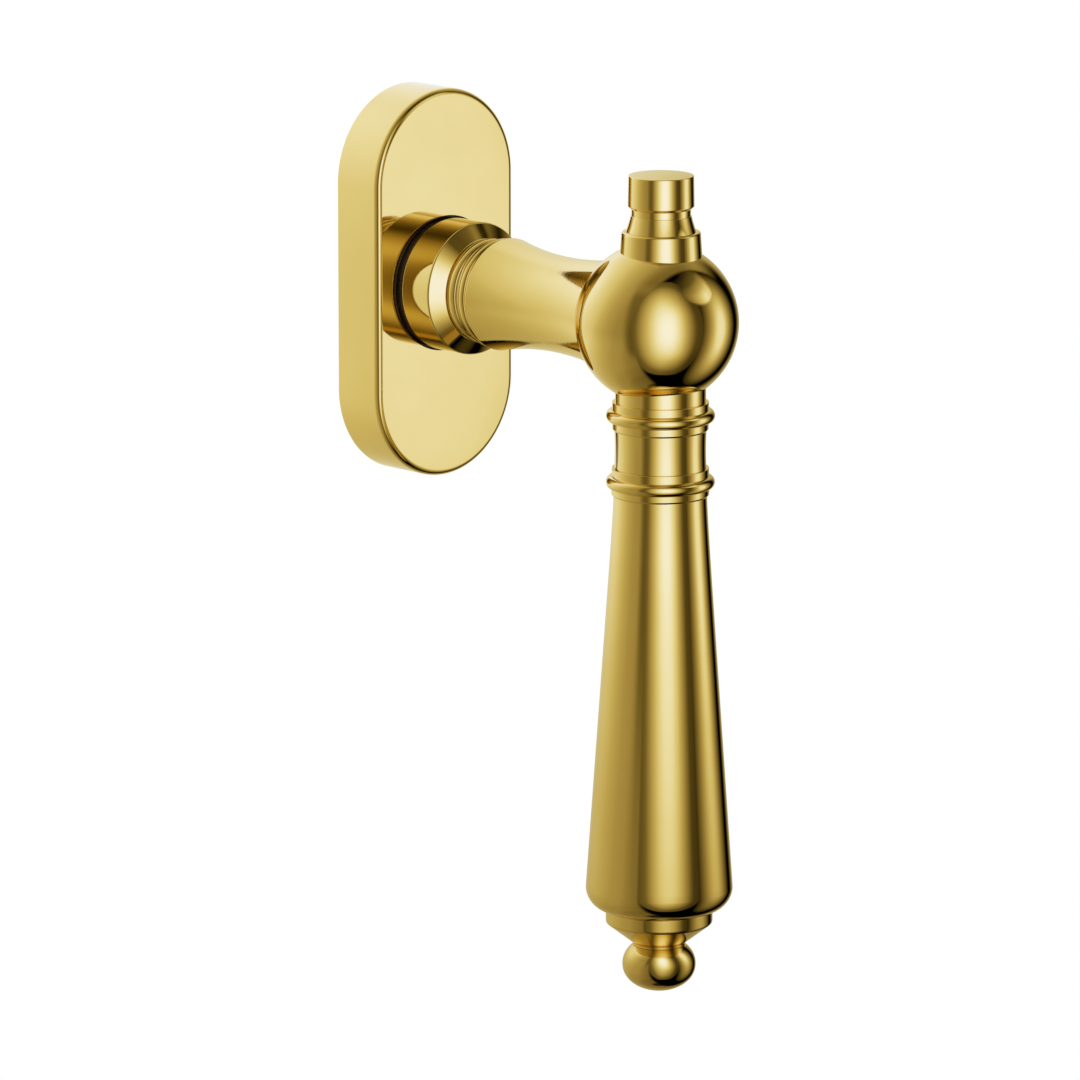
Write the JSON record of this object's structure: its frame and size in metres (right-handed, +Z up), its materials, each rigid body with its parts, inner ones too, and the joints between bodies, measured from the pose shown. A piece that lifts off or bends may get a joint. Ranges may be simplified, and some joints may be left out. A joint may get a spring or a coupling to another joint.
{
  "type": "window handle",
  "caption": "Turned brass window handle: stadium rosette, neck, ball hub with finial and a hanging conical lever that turns a square spindle.",
  "frame": {"origin": "on the spindle axis, in the plane of the window sash that the rosette's back lies on", "axes": "+Z up, with the lever hanging down at rest; +Y into the sash along the spindle; +X to the right as seen from the room"},
  "size_m": [0.0314, 0.1142, 0.1478],
  "materials": {
    "polished_brass": "polished",
    "bright_steel": "zinc plated",
    "zinc_plate": "cast, matt",
    "black_nylon": "matt"
  },
  "bodies": {
    "rosette": {"base_plate": "zinc_plate", "retainer_plate": "bright_steel", "retainer_rivets": "bright_steel", "guide_bush": "black_nylon", "fixing_screws": "bright_steel", "cover_clip_upper": "bright_steel", "cover_clip_lower": "bright_steel", "detent_spring_upper": "bright_steel", "detent_spring_lower": "bright_steel"},
    "cover": {"rosette_cover": "polished_brass"},
    "handle": {"index_disc": "bright_steel", "thrust_washer": "bright_steel", "retaining_ring": "bright_steel", "handle_drum": "polished_brass", "spindle": "bright_steel", "spindle_pin": "bright_steel", "neck_stud": "bright_steel", "handle_neck": "polished_brass", "ball_hub": "polished_brass", "finial_base": "polished_brass", "finial_cap": "polished_brass", "tie_rod": "bright_steel", "upper_ring": "polished_brass", "waist_sleeve": "polished_brass", "lower_ring": "polished_brass", "grip": "polished_brass", "end_cap": "polished_brass", "end_knob": "polished_brass"},
    "upper_click_ball": {"detent_ball_upper": "bright_steel"},
    "lower_click_ball": {"detent_ball_lower": "bright_steel"}
  },
  "joints": [
    {"name": "handle_turn", "type": "hinge", "parent": "rosette", "child": "handle", "pos_m": [0, 0, 0], "axis": [0, 1, 0], "range_deg": [0, 180]},
    {"name": "cover_slide", "type": "slide", "parent": "rosette", "child": "cover", "axis": [0, -1, 0], "range_m": [0, 0.035]},
    {"name": "upper_click", "type": "slide", "parent": "rosette", "child": "upper_click_ball", "axis": [0, 0, 1], "range_m": [-0.0005, 0], "stiffness_N_per_m": 1000, "springref_m": -0.002, "deforming": ["detent_spring_upper"]},
    {"name": "lower_click", "type": "slide", "parent": "rosette", "child": "lower_click_ball", "axis": [0, 0, -1], "range_m": [-0.0005, 0], "stiffness_N_per_m": 1000, "springref_m": -0.002, "deforming": ["detent_spring_lower"]}
  ]
}
